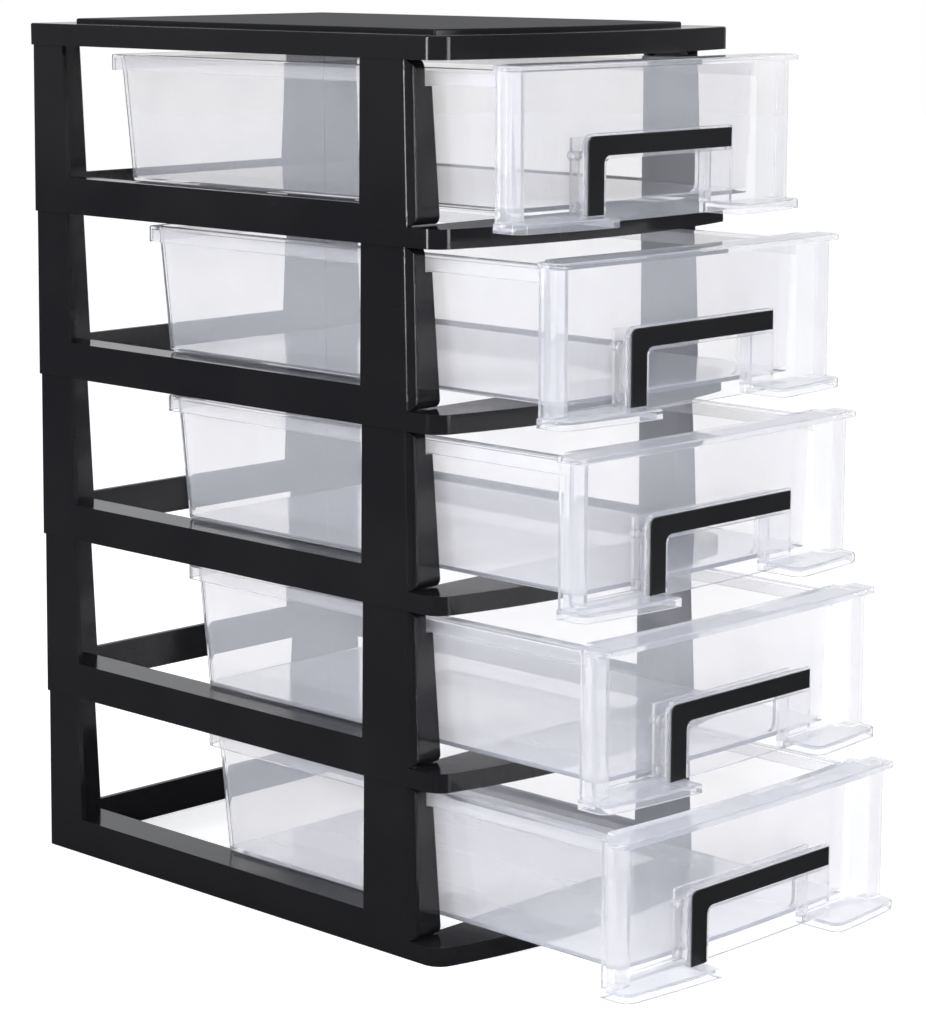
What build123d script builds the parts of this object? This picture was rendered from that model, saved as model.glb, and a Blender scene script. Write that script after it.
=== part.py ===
from build123d import *
import os

# Plastic drawer tower: five stacked tier frames, a top cover and five clear
# drawers, each with a clear handle hood and a black inlay.
# Millimetres, +Z up. The origin is on the floor, at the middle of the tower's
# own footprint. The drawers pull out along -Y and are modelled pulled out as
# in the photograph.

# ---- Tower -----------------------------------------------------------------
tier_count = 5
tower_width = 180.0          # across a ring at its foot
tower_depth = 269.0          # back wall to the middle of the bowed front
front_bow = 13.0             # how far the front edge bulges past its corners
tier_pitch = 74.0            # height of one tier
cover_rim_height = 9.5
cover_rise = 2.0             # raised flat top above the rim
cover_rise_inset = 15.0      # from the rim's edge to the raised top
wall = 2.4                   # frame wall thickness
tier_draft = 1.0             # how far a tier's outer faces lean in over its height
front_corner_radius = 9.0
back_corner_radius = 2.5
fit_gap = 0.2                # between pieces that are pushed together
slide_gap = 0.4              # between a drawer and what carries it

# ---- Tier ring and posts -----------------------------------------------------
rail_height = 16.0           # ring wall at the sides and the back
shelf_height = 8.0           # ring at the front
shelf_plate = 2.2
ledge_height = 14.4          # top of the side ledges that the drawer slides on
ledge_plate = 2.2
ledge_bearing = 3.5          # how far a ledge reaches under the tray
ledge_lip = 4.0              # turned-down inner edge of a ledge
ledge_setback = 8.0          # front end of a ledge behind the front flange
gusset_count = 5             # ribs under each side ledge
gusset_thickness = 1.8
post_setback = 13.0          # front flanges behind the ring's front corners
post_lean = 2.5              # how far a post's edges lean over its height
front_leg_width = 28.0       # side leg of a front post, at its top
post_return = 3.5            # turned-in back edge of a front post's side leg
post_corner_radius = 4.0     # outer front corner of the front posts
back_leg_width = 24.7        # side leg of a back post, at the rail
back_flange_width = 29.0     # rear leg of a back post, at the rail
back_flange_lean = 3.0
mouth_gap_low = 2.5          # front flange beside the tray, at its bottom ...
mouth_gap_mid = 2.0          # ... and under the rim
mouth_gap_rim = 2.4          # front flange beside the rim ...
mouth_gap_high = 2.2         # ... and at the post's top
tongue_height = 5.0          # stacking tongues on the post tops
tongue_thickness = 1.8
tongue_root = 6.0

# ---- Drawer --------------------------------------------------------------------
drawer_wall = 1.8
drawer_inset = 12.0          # tower's side to the drawer's rim
rim_under_top = 3.5          # rim below the tier's top
front_under_top = 1.0        # top flange of the front below the tier's top
rim_plate = 1.6
rim_edge_radius = 0.7        # rounding of the rim's and the flanges' outer edges
rim_skirt = 6.8              # depth of the rim's turned-down edge
rim_side = 3.5               # rim beside the tray
rim_overhang = 2.5           # rim behind the tray's back
rim_to_back = 2.1            # rim to the inside of the tower's back, drawer shut
tub_draft = 3.0              # how far a tray side leans in over its height
tub_back_draft = 2.2
tub_corner_radius = 6.0
tub_bottom_edge = 1.4        # rounding along the tray's bottom edge
panel_stand = 3.5            # panel in front of the post flanges
panel_bow = 3.0
column_inset = 4.0           # corner column inside the tower's side
column_depth = 10.0          # column's front in front of the panel
column_return = 2.5          # column's back edge in front of the panel
front_ear = 1.0              # shelf and top flange beside the column
front_shelf_reach = 16.8     # bottom shelf's corners in front of the panel
front_shelf_bow = 6.0        # bulge of the bottom shelf past its corners
front_shelf_low = 8.5
front_shelf_high = 12.5
front_shelf_ear = 6.0        # corner radius
notch_radius = 5.0           # right corner of the finger gap in the shelf
top_flange_reach = 14.8      # top flange's corners in front of the panel
top_flange_bow = 2.0
top_flange_plate = 2.5
top_flange_ear = 3.5

# ---- Handle ----------------------------------------------------------------------
hood_base_half = 37.5        # hood where it meets the panel
hood_front_half = 45.0       # hood at its front
hood_base_top = 38.0
hood_front_top = 45.3
hood_depth = 13.0            # hood's front face in front of the panel
hood_wall = 1.8
hood_plate = 2.4             # front plate behind the inlay
hood_flange = 5.3            # flange against the panel, around the hood
hood_flange_plate = 1.4
hood_gap = 0.4               # hood above the drawer's bottom shelf
hood_corner = 4.0
grip_low = 17.5              # grip opening through the panel
grip_radius = 4.0
peg_radius = 1.5
peg_height = 36.0            # upper pegs, which snap through the panel
pin_height = 16.0            # lower pins, in blind holes
pin_depth = 1.2
peg_head_radius = 2.0
peg_head = 0.7
inlay_leg = 9.0              # width of the inlay's upright
inlay_bar = 7.8              # height of its crossbar
inlay_border = 1.2           # clear edge around the inlay
inlay_sunk = 1.2             # depth of the inlay's recess
inlay_proud = 0.6            # inlay in front of the hood face
inlay_corner = 3.0
inlay_inner_corner = 3.5

# ---- Pose --------------------------------------------------------------------------
pull_outs = (35.7, 59.2, 70.2, 82.2, 94.2)   # top drawer to bottom drawer

# ---- Worked out from the above -------------------------------------------------------
half_width = tower_width / 2
back_y = tower_depth / 2
front_y = -tower_depth / 2
corner_y = front_y + front_bow
cover_z = tier_count * tier_pitch
far = 2 * tower_depth

post_front_low = corner_y + post_setback       # outer face of the front flanges
post_front_high = post_front_low + post_lean
front_leg_back = post_front_high + front_leg_width
back_leg_low = back_y - back_leg_width
back_leg_high = back_leg_low + post_lean
back_flange_low = half_width - back_flange_width
back_flange_high = back_flange_low + back_flange_lean

drawer_bottom = ledge_height + slide_gap
drawer_top = tier_pitch - rim_under_top
front_top = tier_pitch - front_under_top
rim_bottom = drawer_top - rim_skirt
notch_height = rim_bottom - slide_gap          # step in the flanges under the rim
rim_half = half_width - drawer_inset
rim_back = back_y - wall - rim_to_back
tub_half_high = rim_half - rim_side
tub_half_low = tub_half_high - tub_draft
tub_back_high = rim_back - rim_overhang
tub_back_low = tub_back_high - tub_back_draft
ledge_inner = tub_half_low - ledge_bearing
mouth_low = tub_half_low + mouth_gap_low       # half widths of the drawer mouth
mouth_mid = tub_half_high + mouth_gap_mid
mouth_notch = rim_half + mouth_gap_rim
mouth_high = rim_half + mouth_gap_high

panel_face = post_front_low - panel_stand
panel_back = panel_face + drawer_wall
column_outer = half_width - column_inset
column_inner = rim_half - drawer_wall
column_front = panel_face - column_depth
column_back = panel_face - column_return
front_half = column_outer + front_ear

hood_face = panel_face - hood_depth
hood_low = front_shelf_high + hood_gap
inlay_half = hood_front_half - inlay_border
inlay_top = hood_front_top - inlay_border
grip_half = hood_base_half - hood_wall
grip_high = hood_base_top - hood_wall
notch_left = inlay_leg - inlay_half            # the inlay's upright stands on the shelf
notch_right = hood_front_half - hood_corner
peg_x = hood_base_half + hood_flange / 2
peg_seat = panel_face - panel_bow * (1 - (peg_x / column_inner) ** 2)


def outline(inset):
    """Closed plan outline of the tower: straight sides and back, bowed front."""
    side = half_width - inset
    front_left, front_mid, front_right = (
        (-side, corner_y + inset), (0, front_y + inset), (side, corner_y + inset))
    edges = (
        Line((-side, back_y - inset), front_left)
        + ThreePointArc(front_left, front_mid, front_right)
        + Line(front_right, (side, back_y - inset))
        + Line((side, back_y - inset), (-side, back_y - inset))
    )
    face = make_face(edges)
    front = [v for v in face.vertices() if v.Y < 0]
    back = [v for v in face.vertices() if v.Y > 0]
    face = fillet(front, max(front_corner_radius - inset, 0.8))
    back = [v for v in face.vertices() if v.Y > back_y - inset - 0.01]
    return fillet(back, max(back_corner_radius - inset, 0.5))


def leaning_block(height, inset):
    """Solid on the outline whose faces lean in by the tier draft."""
    lean = tier_draft * height / tier_pitch
    return loft([outline(inset), Pos(0, 0, height) * outline(inset + lean)])


def prism_yz(points, half_x):
    """Polygon in the YZ plane, extruded both ways along X."""
    return extrude(Plane.YZ * make_face(Polyline(*points, close=True)), half_x, both=True)


def prism_xz(points, y_from, y_to):
    """Polygon in the XZ plane, extruded from y_from to y_to."""
    plane = Plane((0, y_to, 0), x_dir=(1, 0, 0), z_dir=(0, -1, 0))
    return extrude(plane * make_face(Polyline(*points, close=True)), y_to - y_from)


def slab(x0, x1, y0, y1, z0, z1):
    """Plain block between two corners."""
    return Pos((x0 + x1) / 2, (y0 + y1) / 2, (z0 + z1) / 2) * Box(x1 - x0, y1 - y0, z1 - z0)


def both_sides(shape):
    """A piece and its mirror image across the middle plane."""
    return shape + mirror(shape, Plane.YZ)


def tongues():
    """Stacking tongues inside the four post tops, with their root pads."""
    top = tier_pitch
    inner_x = half_width - tier_draft - wall
    ring_x = half_width - wall - fit_gap
    ring_y = back_y - wall - fit_gap
    rear_y = post_front_high + wall
    side_y = ((front_leg_back - 20, front_leg_back - 3),
              (back_leg_high + 3, back_y - wall - 8))
    parts = []
    for y0, y1 in side_y:
        parts.append(slab(-ring_x, -ring_x + tongue_thickness, y0, y1, top, top + tongue_height))
        parts.append(slab(-inner_x - 0.4, -ring_x + tongue_thickness, y0, y1,
                          top - tongue_root, top))
    x0, x1 = -half_width + 3, -rim_half - 1.5
    parts.append(slab(x0, x1, ring_y - tongue_thickness, ring_y, top, top + tongue_height))
    parts.append(slab(x0, x1, ring_y - tongue_thickness, back_y - tier_draft - wall + 0.4,
                      top - tongue_root, top))
    x0, x1 = -half_width + 4, -mouth_high - 0.8
    tongue_y = rear_y + fit_gap
    parts.append(slab(x0, x1, tongue_y, tongue_y + tongue_thickness, top, top + tongue_height))
    parts.append(slab(x0, x1, rear_y - 0.4, tongue_y + tongue_thickness, top - tongue_root, top))
    return both_sides(Part() + parts)


def tier_frame():
    """Base ring, side ledges, front shelf and four posts in one piece."""
    block = leaning_block(tier_pitch, 0)
    hollow = leaning_block(tier_pitch, wall)
    tube = block - hollow - slab(-far, far, -far, far, tier_pitch, far)

    ahead = prism_yz([(-far, shelf_height), (post_front_low, shelf_height),
                      (post_front_high, tier_pitch), (post_front_high, far), (-far, far)], far)
    side_window = prism_yz([(front_leg_back, rail_height), (back_leg_low, rail_height),
                            (back_leg_high, tier_pitch), (back_leg_high, far),
                            (front_leg_back, far)], far)
    back_window = prism_xz([(-back_flange_low, rail_height), (back_flange_low, rail_height),
                            (back_flange_high, tier_pitch), (back_flange_high, far),
                            (-back_flange_high, far), (-back_flange_high, tier_pitch)],
                           back_y - 20, back_y + 20)
    above = (block - ahead) & slab(-far, far, -far, far, shelf_height, tier_pitch)
    corners = [e for e in above.edges() if e.length > tier_pitch - shelf_height - 1
               and post_front_low - 0.1 < e.center().Y < post_front_high + 0.1]
    above = fillet(corners, post_corner_radius)
    ring = tube & slab(-far, far, -far, far, 0, shelf_height)
    frame = ring + (above - hollow) - side_window - back_window

    flange = prism_yz([(post_front_low, shelf_height - 1), (post_front_low + wall, shelf_height - 1),
                       (post_front_high + wall, tier_pitch), (post_front_high, tier_pitch)],
                      half_width)
    mouth = prism_xz([(-mouth_low, 0), (mouth_low, 0), (mouth_low, shelf_height),
                      (mouth_mid, notch_height), (mouth_notch, notch_height),
                      (mouth_high, tier_pitch), (mouth_high, far), (-mouth_high, far),
                      (-mouth_high, tier_pitch), (-mouth_notch, notch_height),
                      (-mouth_mid, notch_height), (-mouth_low, shelf_height)],
                     post_front_low - 20, post_front_low + 20)
    frame += (flange & (above + ring)) - mouth
    turned = prism_yz([(front_leg_back - wall, rail_height - 1), (front_leg_back, rail_height - 1),
                       (front_leg_back, tier_pitch), (front_leg_back - wall, tier_pitch)], half_width)
    turned -= slab(post_return - half_width + wall + tier_draft, half_width - tier_draft - wall
                   - post_return, -far, far, 0, far)
    frame += turned & block

    channel_back = post_front_high + wall
    shelf = (hollow & slab(-far, far, -far, channel_back, shelf_height - shelf_plate, shelf_height))
    rear = (hollow & slab(-far, far, post_front_high, channel_back, 0, shelf_height))
    frame += shelf + rear

    wall_x = half_width - wall - 0.3
    ledge_front = post_front_high + ledge_setback
    ledge = slab(-half_width + wall / 2, -ledge_inner, ledge_front, back_y - wall / 2,
                 ledge_height - ledge_plate, ledge_height)
    ledge += slab(-ledge_inner - 1.8, -ledge_inner, ledge_front, back_y - wall / 2,
                  ledge_height - ledge_lip, ledge_height)
    span = back_leg_low - front_leg_back - 24
    for i in range(gusset_count):
        y = front_leg_back + 12 + span * i / (gusset_count - 1)
        corner = [(-wall_x, 4), (-wall_x, ledge_height - 1), (-ledge_inner - 1, ledge_height - 1),
                  (-ledge_inner - 1, ledge_height - ledge_lip)]
        ledge += prism_xz(corner, y - gusset_thickness / 2, y + gusset_thickness / 2)
    frame += both_sides(ledge) & block
    return frame + tongues()


def top_cover():
    """Rim with a raised flat top, hollow underneath."""
    rim = extrude(outline(0), cover_rim_height)
    rim = fillet(rim.faces().sort_by(Axis.Z)[-1].edges(), 0.9)
    raised = Pos(0, 0, cover_rim_height) * extrude(outline(cover_rise_inset), cover_rise)
    raised = fillet(raised.faces().sort_by(Axis.Z)[-1].edges(), 0.8)
    hollow = extrude(outline(wall), cover_rim_height - wall)
    pocket = extrude(outline(cover_rise_inset + wall), cover_rim_height + cover_rise - wall)
    ribs = hollow & slab(-far, far, post_front_high, post_front_high + wall, 0, far)
    return Pos(0, 0, cover_z) * (rim + raised - (hollow + pocket) + ribs)


def panel_line(offset):
    """Bowed plan line of the drawer panel, moved along Y by an offset."""
    return ThreePointArc((-column_inner, panel_face + offset),
                         (0, panel_face - panel_bow + offset),
                         (column_inner, panel_face + offset))


def panel_band(front, back, z0, z1):
    """Plate that follows the panel's bow, between two offsets and two heights."""
    ahead, behind = panel_line(front), panel_line(back)
    face = make_face(ahead + Line(ahead @ 1, behind @ 1) + behind + Line(ahead @ 0, behind @ 0))
    return Pos(0, 0, z0) * extrude(face, z1 - z0)


def tray_block(inset, z0, z1):
    """Tapered solid of the tray, drawn in by an inset, open-ended at the front."""
    def ring(z):
        share = (z - drawer_bottom) / (rim_bottom - drawer_bottom)
        half = tub_half_low + (tub_half_high - tub_half_low) * share - inset
        back = tub_back_low + (tub_back_high - tub_back_low) * share - inset
        front = column_back - 20
        box = Pos(0, (back + front) / 2, z) * Rectangle(2 * half, back - front)
        corners = [v for v in box.vertices() if v.Y > 0]
        return fillet(corners, tub_corner_radius - inset)
    return loft([ring(z0), ring(z1)])


def front_plan(reach, bow, ear):
    """Plan of a flange over the drawer's whole front, its edge bowed, its ears rounded."""
    corner, shoulder = panel_face - reach, column_inner + drawer_wall
    front = ThreePointArc((-front_half, corner), (0, corner - bow), (front_half, corner))
    rest = Polyline((front_half, corner), (front_half, column_back), (shoulder, column_back),
                    (shoulder, panel_back), (-shoulder, panel_back), (-shoulder, column_back),
                    (-front_half, column_back), (-front_half, corner))
    face = make_face(front + rest)
    return fillet([v for v in face.vertices() if v.Y < column_front], ear)


def front_shelf():
    """Bottom shelf: two plates with turned-down edges and a finger gap between them."""
    face = front_plan(front_shelf_reach, front_shelf_bow, front_shelf_ear)
    face -= Pos((notch_left + notch_right) / 2, 0) * Rectangle(notch_right - notch_left, far)
    inner = [v for v in face.vertices() if v.Y < column_front and abs(v.X - notch_right) < 0.01]
    face = fillet(inner, notch_radius)
    height = front_shelf_high - front_shelf_low
    shelf = Part() + extrude(face, height)
    for wing in face.faces():
        shelf -= extrude(offset(wing, -drawer_wall, kind=Kind.INTERSECTION), height - drawer_wall)
    edges = [e for e in shelf.edges().group_by(Axis.Z)[-1] if e.center().Y < column_back - 1]
    return Pos(0, 0, front_shelf_low) * fillet(edges, rim_edge_radius)


def rim_plan(inset):
    """Plan of everything inside the rim's edge, drawn in by an inset."""
    back = rim_back - inset
    box = Pos(0, (back + front_y) / 2) * Rectangle(2 * (rim_half - inset), back - front_y)
    return fillet([v for v in box.vertices() if v.Y > 0], max(5.0 - inset, 0.5))


def drawer():
    """Clear drawer in its closed place, its tier's foot at z = 0."""
    floor = drawer_bottom + drawer_wall
    tub = tray_block(0, drawer_bottom, drawer_top)
    bottom = tub.faces().sort_by(Axis.Z)[0]
    tub = fillet(bottom.edges(), tub_bottom_edge)
    tub -= tray_block(drawer_wall, floor, drawer_top + 5)
    ahead = panel_band(-40, drawer_wall / 2, 0, far)
    ahead += slab(-far, -column_inner + 0.01, -far, panel_back, 0, far)
    ahead += slab(column_inner - 0.01, far, -far, panel_back, 0, far)
    tub -= ahead

    # Rim around the sides and the back, with its turned-down skirt.
    plate = extrude(rim_plan(0), rim_plate) - extrude(rim_plan(rim_side + 1.0), rim_plate)
    skirt = extrude(rim_plan(0), -rim_skirt) - extrude(rim_plan(1.5), -rim_skirt)
    rim = mirror(plate, Plane.XY) + skirt
    outer_edges = [e for e in rim.edges().group_by(Axis.Z)[-1]
                   if e.center().Y > rim_back - 6 or abs(abs(e.center().X) - rim_half) < 0.01]
    rim = Pos(0, 0, drawer_top) * fillet(outer_edges, rim_edge_radius)
    rim -= slab(-far, far, -far, panel_back, 0, far)
    body = tub + rim

    # Front panel, corner columns, top flange and bottom shelf.
    front = panel_band(0, drawer_wall, front_shelf_low, front_top)
    outer = [(-column_inner - drawer_wall, panel_back), (-column_inner, panel_back),
             (-column_inner, column_front), (-column_outer, column_front),
             (-column_outer, column_back), (-column_outer + drawer_wall, column_back),
             (-column_outer + drawer_wall, column_front + drawer_wall),
             (-column_inner - drawer_wall, column_front + drawer_wall)]
    column = make_face(Polyline(*outer, close=True))
    rounded = [v for v in column.vertices() if abs(v.Y - column_front) < 0.01]
    column = fillet(rounded, 2.0)
    column = Pos(0, 0, front_shelf_high - 0.5) * extrude(column, front_top - front_shelf_high)
    flange = extrude(front_plan(top_flange_reach, top_flange_bow, top_flange_ear), top_flange_plate)
    edges = [e for e in flange.edges().group_by(Axis.Z)[-1] if e.center().Y < column_back - 1]
    flange = fillet(edges, rim_edge_radius)
    flange = Pos(0, 0, front_top - top_flange_plate) * flange
    flange -= panel_band(drawer_wall, 20, 0, far)
    body += front + both_sides(column) + flange + front_shelf()

    # Grip opening behind the hood, and the holes for the hood's pegs.
    grip = prism_xz([(-grip_half, grip_low), (grip_half, grip_low), (grip_half, grip_high),
                     (-grip_half, grip_high)], column_front, panel_back + 5)
    grip = fillet(grip.edges().filter_by(Axis.Y), grip_radius)
    body -= grip
    body -= rods(peg_radius + fit_gap, peg_height, column_front, panel_back + 5)
    return body - rods(peg_radius + fit_gap, pin_height, column_front, peg_seat + pin_depth + fit_gap)


def rods(radius, height, y_from, y_to):
    """Two round rods along Y, one on each side of the hood."""
    return both_sides(Pos(-peg_x, (y_from + y_to) / 2, height) * Rot(90, 0, 0)
                      * Cylinder(radius, y_to - y_from))


def hood_block(inset, low, y_base, y_face):
    """Flared solid of the hood, drawn in by an inset at the sides and the top."""
    def section(half, top, y):
        plane = Plane((0, y, 0), x_dir=(1, 0, 0), z_dir=(0, -1, 0))
        face = make_face(Polyline((-half, low), (half, low), (half, top), (-half, top), close=True))
        face = fillet([v for v in face.vertices() if v.Y > low + 1], hood_corner - inset)
        return plane * face
    return loft([section(hood_base_half - inset, hood_base_top - inset, y_base),
                 section(hood_front_half - inset, hood_front_top - inset, y_face)])


def angle_face(half, top, leg, bar, outer_corner, inner_corner, low):
    """Angle shape in the XZ plane: an upright on the left and a crossbar."""
    points = [(-half, low), (-half + leg, low), (-half + leg, top - bar), (half, top - bar),
              (half, top), (-half, top)]
    face = make_face(Polyline(*points, close=True))
    face = fillet([v for v in face.vertices() if v.X < -half + 1 and v.Y > top - 1], outer_corner)
    return fillet([v for v in face.vertices() if abs(v.X + half - leg) < 0.01 and v.Y > low + 1],
                  inner_corner)


def angle_plate(face, y_from, y_to):
    """Angle shape extruded between two depths."""
    plane = Plane((0, y_to, 0), x_dir=(1, 0, 0), z_dir=(0, -1, 0))
    return extrude(plane * face, y_to - y_from)


def handle_hood():
    """Clear hood, open below and in front, with a flange and pegs on its back."""
    base_y = panel_face - hood_flange_plate
    walls = hood_block(0, hood_low, base_y, hood_face)
    walls -= hood_block(hood_wall, hood_low - 5, base_y, hood_face)
    reach = hood_base_half + hood_flange
    flange = panel_band(-hood_flange_plate, 0, hood_low, hood_base_top + hood_flange)
    flange &= slab(-reach, reach, -far, far, 0, far)
    flange -= hood_block(hood_wall, hood_low - 5, base_y + 5, hood_face)
    plate = angle_face(hood_front_half - 0.3, hood_front_top - 0.3, inlay_leg + 2 * inlay_border,
                       inlay_bar + 2 * inlay_border, hood_corner, inlay_inner_corner - inlay_border,
                       hood_low)
    hood = walls + flange + angle_plate(plate, hood_face, hood_face + hood_plate)
    recess = angle_face(inlay_half + fit_gap / 2, inlay_top + fit_gap / 2, inlay_leg + fit_gap,
                        inlay_bar + fit_gap, inlay_corner, inlay_inner_corner, hood_low - 2)
    hood -= angle_plate(recess, hood_face - 5, hood_face + inlay_sunk)
    behind = peg_seat + drawer_wall
    head_front = peg_seat - hood_flange_plate - peg_head
    heads = (rods(peg_head_radius, peg_height, head_front, peg_seat + 0.5)
             + rods(peg_head_radius, pin_height, head_front, peg_seat + 0.5)
             + rods(peg_head_radius, peg_height, behind - 0.5, behind + peg_head))
    shafts = (rods(peg_radius, peg_height, head_front, behind + peg_head)
              + rods(peg_radius, pin_height, head_front, peg_seat + pin_depth))
    hood -= panel_band(0, 30, 0, far)
    return hood + (heads - panel_band(0, drawer_wall, 0, far)) + shafts


def handle_inlay():
    """Black inlay: an upright at the left and a crossbar to the right."""
    face = angle_face(inlay_half, inlay_top, inlay_leg, inlay_bar, inlay_corner,
                      inlay_inner_corner, hood_low)
    plate = angle_plate(face, hood_face - inlay_proud, hood_face + inlay_sunk)
    rim = plate.faces().sort_by(Axis.Y)[0].edges()
    return fillet(rim, 0.35)


nodes = {"top_cover": top_cover()}
frame, tray, hood, inlay = tier_frame(), drawer(), handle_hood(), handle_inlay()
for i, pull in enumerate(pull_outs):
    foot = (tier_count - 1 - i) * tier_pitch
    nodes[f"tier_frame_{i + 1}"] = Pos(0, 0, foot) * frame
    for name, piece in (("drawer", tray), ("handle_hood", hood), ("handle_inlay", inlay)):
        nodes[f"{name}_{i + 1}"] = Pos(0, -pull, foot) * piece

os.makedirs("parts", exist_ok=True)
for name, shape in nodes.items():
    shape.label = name
    export_step(shape, f"parts/{name}.step")
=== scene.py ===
"""Plastic drawer tower: five black stacking tiers, a black cover and five clear drawers.

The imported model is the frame. This script gives its pieces their finishes, adds the
pressed pin heads of the handles, and sets up the camera, the light and the floor.
"""

from __future__ import annotations

import logging
import math
from dataclasses import dataclass
from enum import Enum
from typing import Any

import bpy
from mathutils import Matrix, Vector

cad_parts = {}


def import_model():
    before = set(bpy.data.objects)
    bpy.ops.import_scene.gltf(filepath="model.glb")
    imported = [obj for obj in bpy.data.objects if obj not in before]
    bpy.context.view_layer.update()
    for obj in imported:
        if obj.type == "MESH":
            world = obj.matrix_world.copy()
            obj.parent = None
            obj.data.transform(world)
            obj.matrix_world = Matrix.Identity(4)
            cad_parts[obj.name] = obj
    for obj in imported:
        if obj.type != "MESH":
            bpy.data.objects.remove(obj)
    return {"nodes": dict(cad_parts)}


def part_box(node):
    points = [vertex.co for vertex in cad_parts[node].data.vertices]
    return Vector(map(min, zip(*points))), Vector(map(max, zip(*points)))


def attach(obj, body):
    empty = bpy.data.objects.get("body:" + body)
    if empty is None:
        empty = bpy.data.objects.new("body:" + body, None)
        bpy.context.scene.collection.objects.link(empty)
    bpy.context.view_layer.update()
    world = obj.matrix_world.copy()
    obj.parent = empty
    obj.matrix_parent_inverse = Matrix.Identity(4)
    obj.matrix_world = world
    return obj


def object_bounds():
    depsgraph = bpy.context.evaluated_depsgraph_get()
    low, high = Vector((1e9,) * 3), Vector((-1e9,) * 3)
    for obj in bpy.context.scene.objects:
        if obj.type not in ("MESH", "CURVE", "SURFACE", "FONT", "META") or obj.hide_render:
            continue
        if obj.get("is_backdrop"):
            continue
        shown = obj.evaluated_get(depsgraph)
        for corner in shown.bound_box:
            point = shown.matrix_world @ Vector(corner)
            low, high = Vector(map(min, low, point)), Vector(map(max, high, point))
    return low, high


LOG = logging.getLogger("drawer_tower")
MM = 0.001
TIERS = range(1, 6)
PLASTIC_IOR = 1.49
NOISE_LOW, NOISE_HIGH = 0.3, 0.7          # most of a noise pattern lies between these

Colour = tuple[float, float, float, float]
Triple = tuple[float, float, float]
Socket = bpy.types.NodeSocket


class Graph:
    """A node tree under construction, with short calls to add and join nodes."""

    def __init__(self, tree: bpy.types.NodeTree) -> None:
        """Starts on an emptied tree.

        Args:
            tree: The node tree to fill.
        """
        self.tree = tree
        tree.nodes.clear()

    def node(self, kind: str, inputs: dict[Any, Any], settings: dict[str, Any]) -> bpy.types.Node:
        """Adds a node of any kind.

        Args:
            kind: The node's full type.
            inputs: Values or sockets for the node's inputs, by name or number.
            settings: Attributes to set on the node first.

        Returns:
            The new node.
        """
        node = self.tree.nodes.new(kind)
        for name, value in settings.items():
            setattr(node, name, value)
        for key, value in inputs.items():
            if isinstance(value, Socket):
                self.tree.links.new(value, node.inputs[key])
            else:
                node.inputs[key].default_value = value
        return node

    def add(self, kind: str, inputs: dict[Any, Any] | None = None, **settings: Any) -> bpy.types.Node:
        """Adds a shader or maths node, named without its ShaderNode prefix."""
        return self.node("ShaderNode" + kind, inputs or {}, settings)

    def shape(self, kind: str, inputs: dict[Any, Any] | None = None, **settings: Any) -> bpy.types.Node:
        """Adds a geometry node, named without its GeometryNode prefix."""
        return self.node("GeometryNode" + kind, inputs or {}, settings)

    def calc(self, operation: str, first: Any, second: Any = 0.0) -> Socket:
        """Adds a sum on one or two values, or their sockets."""
        return self.add("Math", {0: first, 1: second}, operation=operation).outputs[0]

    def noise(self, scale: float, detail: float, vector: Socket) -> Socket:
        """Adds a noise pattern.

        Args:
            scale: Waves per metre.
            detail: Octaves.
            vector: The place socket.

        Returns:
            The pattern's value socket, from 0 to 1.
        """
        return self.add("TexNoise", {"Vector": vector, "Scale": scale, "Detail": detail}).outputs["Fac"]

    def stretch(self, vector: Socket, scale: Triple) -> Socket:
        """Stretches a pattern's place along the axes whose scale is under 1."""
        return self.add("Mapping", {"Vector": vector, "Scale": scale}).outputs[0]

    def ramp(self, value: Socket, low: float, high: float, out_low: float, out_high: float) -> Socket:
        """Maps a range of a value to another range.

        Args:
            value: The value socket.
            low: Where the output starts to change.
            high: Where it stops changing.
            out_low: Output at and under low.
            out_high: Output at and over high.

        Returns:
            The mapped value socket.
        """
        node = self.add("MapRange", {"Value": value, "From Min": low, "From Max": high,
                                     "To Min": out_low, "To Max": out_high})
        return node.outputs["Result"]

    def blend(self, share: Socket, first: Colour, second: Colour) -> Socket:
        """Mixes two colours.

        Args:
            share: How much of the second colour shows.
            first: Colour at 0.
            second: Colour at 1.

        Returns:
            The colour socket.
        """
        node = self.add("Mix", data_type="RGBA")
        self.tree.links.new(share, node.inputs[0])
        node.inputs[6].default_value = first
        node.inputs[7].default_value = second
        return node.outputs[2]

    def height(self, vector: Socket) -> Socket:
        """Takes the Z part of a vector."""
        return self.add("SeparateXYZ", {0: vector}).outputs["Z"]

    def rise(self) -> Socket:
        """Tells how far the surface faces up, from -1 to 1."""
        return self.height(self.add("NewGeometry").outputs["Normal"])

    def by_ray(self, lit: Socket, mirrored: Socket, seen: Socket) -> Socket:
        """Shows one surface in three ways.

        Args:
            lit: The shader that lights the object.
            mirrored: The shader that gloss reflects.
            seen: The shader that the camera sees, also through clear plastic.

        Returns:
            The shader socket.
        """
        path = self.add("LightPath")
        direct = self.calc("MAXIMUM", path.outputs["Is Camera Ray"], path.outputs["Is Transmission Ray"])
        around = self.add("MixShader", {0: path.outputs["Is Glossy Ray"], 1: lit, 2: mirrored})
        return self.add("MixShader", {0: direct, 1: around.outputs[0], 2: seen}).outputs[0]


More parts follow.
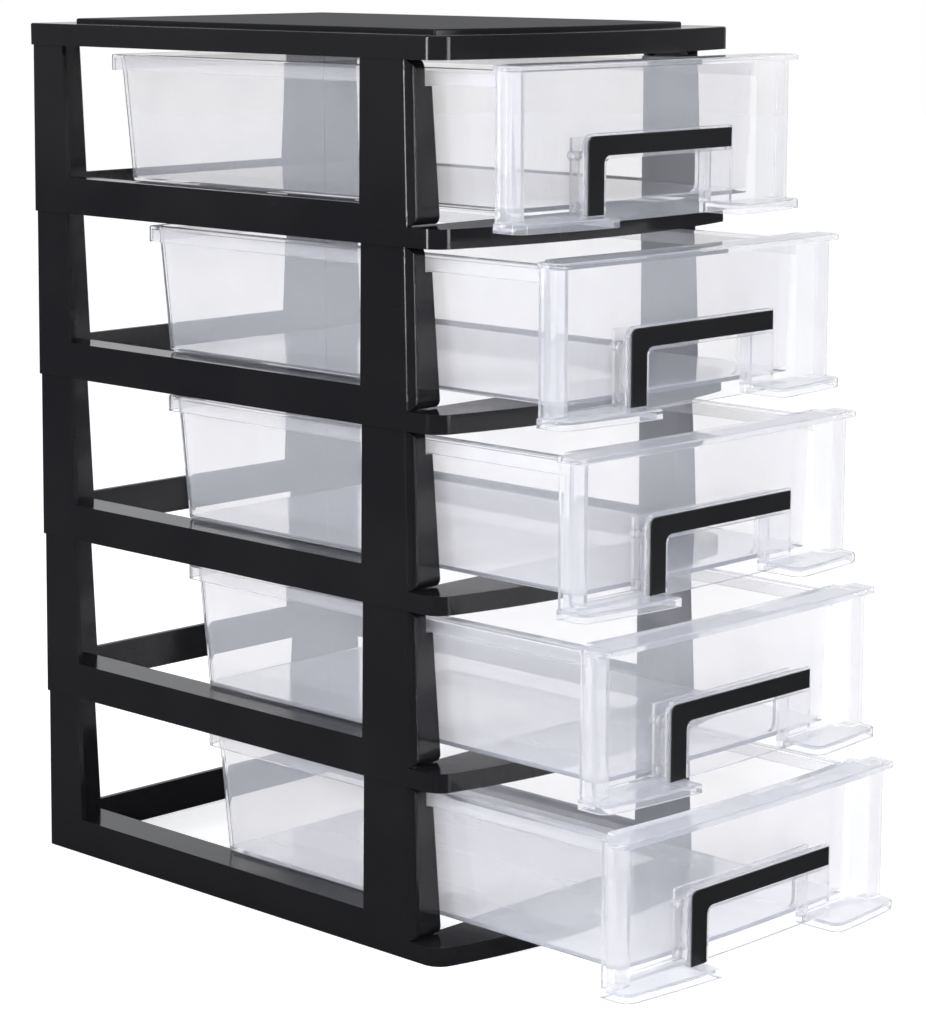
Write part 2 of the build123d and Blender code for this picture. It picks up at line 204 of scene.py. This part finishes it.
@dataclass(frozen=True)
class BlackPlastic:
    """Black moulded plastic with a fine grain and faint handling marks."""

    name: str
    colour: Colour
    worn_colour: Colour
    roughness: float
    roughness_spread: float
    specular: float
    grain_depth: float
    matte_above: float = 9.0              # level faces from this height up are matte; 9 m is none
    matte_step: float = 0.2 * MM
    matte_roughness: float = 0.5
    grain_scale: float = 2600.0
    wave_scale: float = 28.0
    wave_depth: float = 0.08 * MM
    cloud_scale: float = 22.0
    marks_scale: float = 420.0
    marks_stretch: Triple = (1.0, 0.22, 1.0)
    marks_roughness: float = 0.09

    def rough(self, g: Graph, place: Socket, cloud: Socket) -> Socket:
        """Builds the roughness: clouds, handling marks and the matte top.

        Args:
            g: The material's graph.
            place: The place socket.
            cloud: The cloud pattern.

        Returns:
            The roughness socket.
        """
        marks = g.noise(self.marks_scale, 4.0, g.stretch(place, self.marks_stretch))
        marked = g.ramp(marks, 0.62, 0.72, 0.0, self.marks_roughness)
        clouded = g.ramp(cloud, NOISE_LOW, NOISE_HIGH, self.roughness - self.roughness_spread,
                         self.roughness + self.roughness_spread)
        glossy = g.calc("ADD", clouded, marked)
        high = g.ramp(g.height(place), self.matte_above - self.matte_step, self.matte_above, 0.0, 1.0)
        textured = g.calc("MULTIPLY", high, g.ramp(g.rise(), 0.6, 0.9, 0.0, 1.0))
        return g.add("Mix", {0: textured, 2: glossy, 3: self.matte_roughness}).outputs[0]

    def build(self) -> bpy.types.Material:
        """Makes the material.

        Returns:
            The finished material.
        """
        material = bpy.data.materials.new(self.name)
        material.use_nodes = True
        g = Graph(material.node_tree)
        place = g.add("TexCoord").outputs["Object"]
        cloud = g.noise(self.cloud_scale, 3.0, place)
        grain = g.add("Bump", {"Height": g.noise(self.grain_scale, 2.0, place),
                               "Distance": self.grain_depth, "Strength": 1.0})
        relief = g.add("Bump", {"Height": g.noise(self.wave_scale, 1.0, place),
                                "Distance": self.wave_depth, "Strength": 1.0,
                                "Normal": grain.outputs[0]})
        skin = g.add("BsdfPrincipled", {
            "Base Color": g.blend(g.ramp(cloud, 0.35, 0.75, 0.0, 1.0), self.colour, self.worn_colour),
            "Roughness": self.rough(g, place, cloud), "IOR": PLASTIC_IOR,
            "Specular IOR Level": self.specular, "Normal": relief.outputs[0]})
        g.add("OutputMaterial", {"Surface": skin.outputs[0]})
        return material


@dataclass(frozen=True)
class ClearPlastic:
    """Clear, slightly milky moulded plastic, which light passes through with a soft haze."""

    name: str
    clear_colour: Colour
    haze_colour: Colour
    haze_deep_colour: Colour
    haze: float                           # share of the milky skin on upright faces
    haze_spread: float
    level_haze: float                     # share that level faces have on top of that
    roughness: float
    bending: float                        # index by which light bends on its way through
    gloss: float
    shadow_colour: Colour
    gloss_roughness: float = 0.04
    roughness_swing: float = 0.4
    cloud_scale: float = 14.0
    flow_scale: float = 60.0
    flow_stretch: Triple = (1.0, 0.3, 0.6)
    scratch_scale: float = 600.0
    scratch_stretch: Triple = (1.0, 0.15, 1.0)
    scratch_roughness: float = 0.06
    ripple_scale: float = 26.0
    ripple_depth: float = 0.1 * MM

    def rough(self, g: Graph, place: Socket, cloud: Socket) -> Socket:
        """Builds the roughness: clouds and fine scratches.

        Args:
            g: The material's graph.
            place: The place socket.
            cloud: The cloud pattern.

        Returns:
            The roughness socket.
        """
        pattern = g.noise(self.scratch_scale, 3.0, g.stretch(place, self.scratch_stretch))
        scratches = g.ramp(pattern, 0.68, 0.76, 0.0, self.scratch_roughness)
        clouded = g.ramp(cloud, NOISE_LOW, NOISE_HIGH, self.roughness * (1.0 - self.roughness_swing),
                         self.roughness * (1.0 + self.roughness_swing))
        return g.calc("ADD", clouded, scratches)

    def milkiness(self, g: Graph, place: Socket) -> Socket:
        """Builds the share of the milky skin, which follows the flow of the moulding.

        Args:
            g: The material's graph.
            place: The place socket.

        Returns:
            The share's socket.
        """
        flow = g.noise(self.flow_scale, 3.0, g.stretch(place, self.flow_stretch))
        upright = g.ramp(flow, NOISE_LOW, NOISE_HIGH, self.haze - self.haze_spread,
                         self.haze + self.haze_spread)
        level = g.ramp(g.calc("ABSOLUTE", g.rise()), 0.5, 1.0, 0.0, self.level_haze)
        return g.calc("ADD", upright, level)

    def build(self) -> bpy.types.Material:
        """Makes the material.

        Returns:
            The finished material.
        """
        material = bpy.data.materials.new(self.name)
        material.use_nodes = True
        g = Graph(material.node_tree)
        place = g.add("TexCoord").outputs["Object"]
        cloud = g.noise(self.cloud_scale, 2.0, place)
        rough = self.rough(g, place, cloud)
        relief = g.add("Bump", {"Height": g.noise(self.ripple_scale, 1.0, place),
                                "Distance": self.ripple_depth, "Strength": 1.0})
        clear = g.add("BsdfPrincipled", {
            "Base Color": self.clear_colour, "Roughness": rough, "IOR": self.bending,
            "Transmission Weight": 1.0, "Coat Weight": self.gloss,
            "Coat Roughness": self.gloss_roughness, "Coat IOR": PLASTIC_IOR,
            "Normal": relief.outputs[0]})
        milk = g.add("BsdfPrincipled", {
            "Base Color": g.blend(g.ramp(cloud, 0.35, 0.7, 0.0, 1.0), self.haze_colour,
                                  self.haze_deep_colour),
            "Roughness": rough, "IOR": PLASTIC_IOR, "Normal": relief.outputs[0]})
        body = g.add("MixShader", {0: self.milkiness(g, place), 1: clear.outputs[0],
                                   2: milk.outputs[0]})
        shadow = g.add("BsdfTransparent", {"Color": self.shadow_colour})
        shown = g.add("MixShader", {0: g.add("LightPath").outputs["Is Shadow Ray"],
                                    1: body.outputs[0], 2: shadow.outputs[0]})
        g.add("OutputMaterial", {"Surface": shown.outputs[0]})
        return material


def paint(obj: bpy.types.Object, material: bpy.types.Material) -> None:
    """Puts one material on all of an object's slots.

    Args:
        obj: The object to paint.
        material: Its new material.
    """
    if not obj.data.materials:
        obj.data.materials.append(material)
    for slot in obj.material_slots:
        slot.material = material


@dataclass
class Tower:
    """The black tiers and their cover."""

    finish: BlackPlastic

    def dress(self, nodes: dict[str, bpy.types.Object]) -> None:
        """Gives the tiers and the cover their finish.

        Args:
            nodes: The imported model's objects by name.
        """
        material = self.finish.build()
        for name in ["top_cover"] + [f"tier_frame_{i}" for i in TIERS]:
            paint(nodes[name], material)
            LOG.info("%s: %s", name, self.finish.name)


@dataclass
class Drawers:
    """The clear drawers with their handle hoods and black inlays."""

    tray_finish: ClearPlastic
    inlay_finish: BlackPlastic

    def dress(self, nodes: dict[str, bpy.types.Object]) -> bpy.types.Material:
        """Gives the drawers and their handles their finishes.

        Args:
            nodes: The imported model's objects by name.

        Returns:
            The clear plastic.
        """
        clear, black = self.tray_finish.build(), self.inlay_finish.build()
        for i in TIERS:
            paint(nodes[f"drawer_{i}"], clear)
            paint(nodes[f"handle_hood_{i}"], clear)
            paint(nodes[f"handle_inlay_{i}"], black)
            LOG.info("drawer %d: %s and %s", i, self.tray_finish.name, self.inlay_finish.name)
        return clear


class HeadShape(Enum):
    """How the outer end of a snap pin is formed: its dimple's share of the full depth."""

    DOME = 0.0
    DIMPLED = 1.0


@dataclass
class SnapHeads:
    """Round pin heads on each handle hood's flange, pressed over when the hood is fitted."""

    shape: HeadShape = HeadShape.DIMPLED
    radius: float = 1.9 * MM
    height: float = 0.75 * MM
    dimple_radius: float = 0.7 * MM
    dimple_depth: float = 0.5 * MM
    segments: int = 28
    rings: int = 20
    pin_offset: float = 40.15 * MM        # from the hood's middle line
    pin_heights: tuple[float, float] = (16.0 * MM, 36.0 * MM)   # above the drawer's tier foot
    hood_foot: float = 12.9 * MM          # the hood's lower edge above the tier's foot
    flange_front: float = 4.6 * MM        # the flange's front before the hood's rearmost point

    def tree(self, material: bpy.types.Material) -> bpy.types.NodeTree:
        """Builds the node tree that puts a head on every point.

        Args:
            material: The heads' material.

        Returns:
            The tree.
        """
        tree = bpy.data.node_groups.new("snap_heads", "GeometryNodeTree")
        face = tree.interface
        face.new_socket("Points", in_out="INPUT", socket_type="NodeSocketGeometry")
        for name in ("Radius", "Height", "Dimple Radius", "Dimple Depth"):
            face.new_socket(name, in_out="INPUT", socket_type="NodeSocketFloat")
        face.new_socket("Heads", in_out="OUTPUT", socket_type="NodeSocketGeometry")
        g = Graph(tree)
        given = tree.nodes.new("NodeGroupInput").outputs
        ball = g.shape("MeshUVSphere", {"Segments": self.segments, "Rings": self.rings, "Radius": 1.0})
        size = g.add("CombineXYZ", {0: given["Radius"], 1: given["Radius"], 2: given["Height"]})
        flat = g.shape("Transform", {"Geometry": ball.outputs[0], "Scale": size.outputs[0]})
        spot = g.add("SeparateXYZ", {0: g.shape("InputPosition").outputs[0]})
        reach = g.add("CombineXYZ", {0: spot.outputs[0], 1: spot.outputs[1]})
        away = g.add("VectorMath", {0: reach.outputs[0]}, operation="LENGTH").outputs["Value"]
        share = g.add("MapRange", {"Value": away, "From Min": 0.0,
                                   "From Max": given["Dimple Radius"],
                                   "To Min": 1.0, "To Max": 0.0}, interpolation_type="SMOOTHSTEP")
        depth = g.calc("MULTIPLY", share.outputs[0], given["Dimple Depth"])
        above = g.calc("GREATER_THAN", spot.outputs[2])
        down = g.calc("MULTIPLY", g.calc("MULTIPLY", depth, above), -1.0)
        move = g.add("CombineXYZ", {2: down})
        pressed = g.shape("SetPosition", {"Geometry": flat.outputs[0], "Offset": move.outputs[0]})
        placed = g.shape("InstanceOnPoints", {"Points": given["Points"],
                                              "Instance": pressed.outputs[0],
                                              "Rotation": (math.pi / 2, 0.0, 0.0)})
        real = g.shape("RealizeInstances", {0: placed.outputs[0]})
        done = g.shape("SetMaterial", {"Geometry": real.outputs[0], "Material": material})
        tree.links.new(done.outputs[0], tree.nodes.new("NodeGroupOutput").inputs[0])
        return tree

    def spots(self, i: int) -> list[Triple]:
        """Works out where the heads of one hood sit.

        Args:
            i: The drawer's number, from the top.

        Returns:
            The heads' centres.
        """
        low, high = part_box(f"handle_hood_{i}")
        foot = low[2] - self.hood_foot
        y = high[1] - self.flange_front
        return [(side * self.pin_offset, y, foot + z) for side in (-1, 1) for z in self.pin_heights]

    def build(self, material: bpy.types.Material) -> None:
        """Builds the four heads of every hood.

        Args:
            material: The heads' material.
        """
        tree = self.tree(material)
        sizes = {"Radius": self.radius, "Height": self.height, "Dimple Radius": self.dimple_radius,
                 "Dimple Depth": self.dimple_depth * self.shape.value}
        for i in TIERS:
            mesh = bpy.data.meshes.new("pins")
            mesh.from_pydata(self.spots(i), [], [])
            heads = bpy.data.objects.new(f"snap_heads_{i}", mesh)
            bpy.context.scene.collection.objects.link(heads)
            modifier = heads.modifiers.new("heads", "NODES")
            modifier.node_group = tree
            for socket in tree.interface.items_tree:
                if socket.in_out == "INPUT" and socket.name in sizes:
                    modifier[socket.identifier] = sizes[socket.name]
            bpy.context.view_layer.update()
            depsgraph = bpy.context.evaluated_depsgraph_get()
            heads_mesh = bpy.data.meshes.new_from_object(heads.evaluated_get(depsgraph))
            heads.modifiers.clear()
            heads.data = heads_mesh
            for polygon in heads_mesh.polygons:
                polygon.use_smooth = True
            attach(heads, f"drawer_{i}_with_handle")
            LOG.info("%s: %d faces", heads.name, len(heads_mesh.polygons))


@dataclass(frozen=True)
class SoftBox:
    """A soft studio lamp."""

    name: str
    place: Triple
    aim: Triple
    size: tuple[float, float]             # width and height
    power: float                          # watts

    def build(self) -> None:
        """Hangs the lamp in the scene."""
        data = bpy.data.lights.new(self.name, "AREA")
        data.shape = "RECTANGLE"
        data.size, data.size_y = self.size
        data.energy = self.power
        lamp = bpy.data.objects.new(self.name, data)
        lamp.location = self.place
        heading = Vector(self.aim) - Vector(self.place)
        lamp.rotation_euler = heading.to_track_quat("-Z", "Y").to_euler()
        bpy.context.scene.collection.objects.link(lamp)


@dataclass(frozen=True)
class Surroundings:
    """The white room, dimmer where it lights the tower, with a pale screen that gloss reflects."""

    room_colour: Colour = (0.93, 0.96, 1.0, 1.0)
    room_light: float = 0.51
    mirror_colour: Colour = (0.97, 0.98, 1.0, 1.0)
    mirror_dark: float = 0.2              # the room as gloss shows it ...
    mirror_screen: float = 0.74           # ... and the screen behind the tower
    screen_heading: Triple = (0.70, 0.714, 0.0)
    screen_sides: tuple[float, float] = (0.70, 0.86)
    screen_top: tuple[float, float] = (0.28, 0.5)

    def build(self) -> None:
        """Makes the world."""
        world = bpy.data.worlds.new("studio")
        world.use_nodes = True
        bpy.context.scene.world = world
        g = Graph(world.node_tree)
        room = g.add("Background", {"Color": self.room_colour, "Strength": self.room_light})
        heading = g.add("TexCoord").outputs["Generated"]
        under = g.ramp(g.height(heading), *self.screen_top, 1.0, 0.0)
        toward = g.add("VectorMath", {0: heading, 1: self.screen_heading}, operation="DOT_PRODUCT")
        behind = g.ramp(toward.outputs["Value"], *self.screen_sides, 0.0, 1.0)
        glow = g.ramp(g.calc("MULTIPLY", under, behind), 0.0, 1.0, self.mirror_dark, self.mirror_screen)
        mirror = g.add("Background", {"Color": self.mirror_colour, "Strength": glow})
        white = g.add("Background", {"Color": (1.0, 1.0, 1.0, 1.0), "Strength": 1.0})
        final = g.by_ray(room.outputs[0], mirror.outputs[0], white.outputs[0])
        g.add("OutputWorld", {"Surface": final})


@dataclass(frozen=True)
class Floor:
    """A plain pale round floor that keeps the tower's soft shadow."""

    radius: float = 6.0
    corners: int = 64
    paper_colours: tuple[Colour, Colour] = ((0.85, 0.85, 0.86, 1.0), (0.87, 0.87, 0.88, 1.0))
    fibre_scale: float = 900.0
    mirror_colour: Colour = (0.10, 0.10, 0.105, 1.0)
    glow: float = 0.62                    # lifts the seen floor to white outside the shadow

    def material(self) -> bpy.types.Material:
        """Makes the floor's material.

        Returns:
            The finished material.
        """
        material = bpy.data.materials.new("pale_floor")
        material.use_nodes = True
        g = Graph(material.node_tree)
        fibre = g.noise(self.fibre_scale, 3.0, g.add("TexCoord").outputs["Object"])
        paper = g.add("BsdfDiffuse", {"Color": g.blend(fibre, *self.paper_colours)})
        mirrored = g.add("BsdfDiffuse", {"Color": self.mirror_colour})
        glow = g.add("Emission", {"Color": (1.0, 1.0, 1.0, 1.0), "Strength": self.glow})
        seen = g.add("AddShader", {0: paper.outputs[0], 1: glow.outputs[0]})
        shown = g.by_ray(paper.outputs[0], mirrored.outputs[0], seen.outputs[0])
        g.add("OutputMaterial", {"Surface": shown})
        return material

    def build(self) -> None:
        """Lays the floor."""
        turns = [math.tau * i / self.corners for i in range(self.corners)]
        edge = [(self.radius * math.cos(turn), self.radius * math.sin(turn), 0.0) for turn in turns]
        mesh = bpy.data.meshes.new("floor")
        mesh.from_pydata(edge, [], [tuple(range(self.corners))])
        floor = bpy.data.objects.new("floor", mesh)
        bpy.context.scene.collection.objects.link(floor)
        mesh.materials.append(self.material())
        floor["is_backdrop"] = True


@dataclass(frozen=True)
class Camera:
    """The camera at the photograph's viewing angle."""

    place: Triple = (-0.94859, -0.97918, 0.41873)
    azimuth: float = -45.549              # degrees, 0 looks along +Y
    elevation: float = 10.618
    lens: float = 108.53                  # mm, on a sensor of 36 mm
    sensor: float = 36.0

    def build(self) -> None:
        """Sets the scene's camera."""
        a, e = math.radians(self.azimuth), math.radians(self.elevation)
        back = Vector((math.sin(a) * math.cos(e), -math.cos(a) * math.cos(e), math.sin(e)))
        right = Vector((math.cos(a), math.sin(a), 0.0))
        up = back.cross(right)
        data = bpy.data.cameras.new("camera")
        data.lens = self.lens
        data.sensor_width = self.sensor
        data.clip_start, data.clip_end = 0.05, 50.0
        camera = bpy.data.objects.new("camera", data)
        camera.matrix_world = Matrix((*zip(right, up, back, self.place), (0, 0, 0, 1)))
        bpy.context.scene.collection.objects.link(camera)
        bpy.context.scene.camera = camera


FRAME_BLACK = BlackPlastic("frame_black_plastic", (0.0115, 0.0115, 0.0135, 1.0),
                           (0.0150, 0.0150, 0.0170, 1.0), roughness=0.12, roughness_spread=0.035,
                           specular=0.45, grain_depth=0.003 * MM, matte_above=0.3805)
INLAY_BLACK = BlackPlastic("inlay_black_plastic", (0.013, 0.013, 0.014, 1.0),
                           (0.017, 0.017, 0.018, 1.0), roughness=0.46, roughness_spread=0.05,
                           specular=0.35, grain_depth=0.008 * MM)
TRAY_CLEAR = ClearPlastic("clear_milky_plastic", clear_colour=(1.0, 0.982, 0.965, 1.0),
                          haze_colour=(0.75, 0.775, 0.85, 1.0),
                          haze_deep_colour=(0.72, 0.745, 0.83, 1.0), haze=0.185, haze_spread=0.02,
                          level_haze=0.2, roughness=0.02, bending=1.15, gloss=0.35,
                          shadow_colour=(0.96, 0.96, 0.96, 1.0))
SOFT_BOXES = (
    SoftBox("left_strip", (-1.32, 0.29, 0.66), (0.0, 0.0, 0.25), (0.24, 1.15), 9.5),
    SoftBox("front_strip", (0.0, -1.37, 0.66), (0.0, 0.0, 0.25), (0.24, 1.15), 5.6),
    SoftBox("top", (-0.3, -0.2, 1.9), (0.0, 0.0, 0.2), (1.4, 1.4), 4.0),
)


def main() -> list[list[list[float]]]:
    """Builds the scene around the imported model.

    Returns:
        The CAD model's box and the visual model's box.
    """
    logging.basicConfig(level=logging.INFO, format="%(message)s")
    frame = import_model()
    cad_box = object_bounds()
    bpy.context.scene.view_settings.view_transform = "Standard"
    Tower(FRAME_BLACK).dress(frame["nodes"])
    clear = Drawers(TRAY_CLEAR, INLAY_BLACK).dress(frame["nodes"])
    SnapHeads().build(clear)
    Camera().build()
    Surroundings().build()
    Floor().build()
    for lamp in SOFT_BOXES:
        lamp.build()
    LOG.info("studio: camera, %d soft boxes and a floor", len(SOFT_BOXES))
    boxes = [[list(map(float, corner)) for corner in box] for box in (cad_box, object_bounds())]
    return boxes


if __name__ == "__main__":
    main()
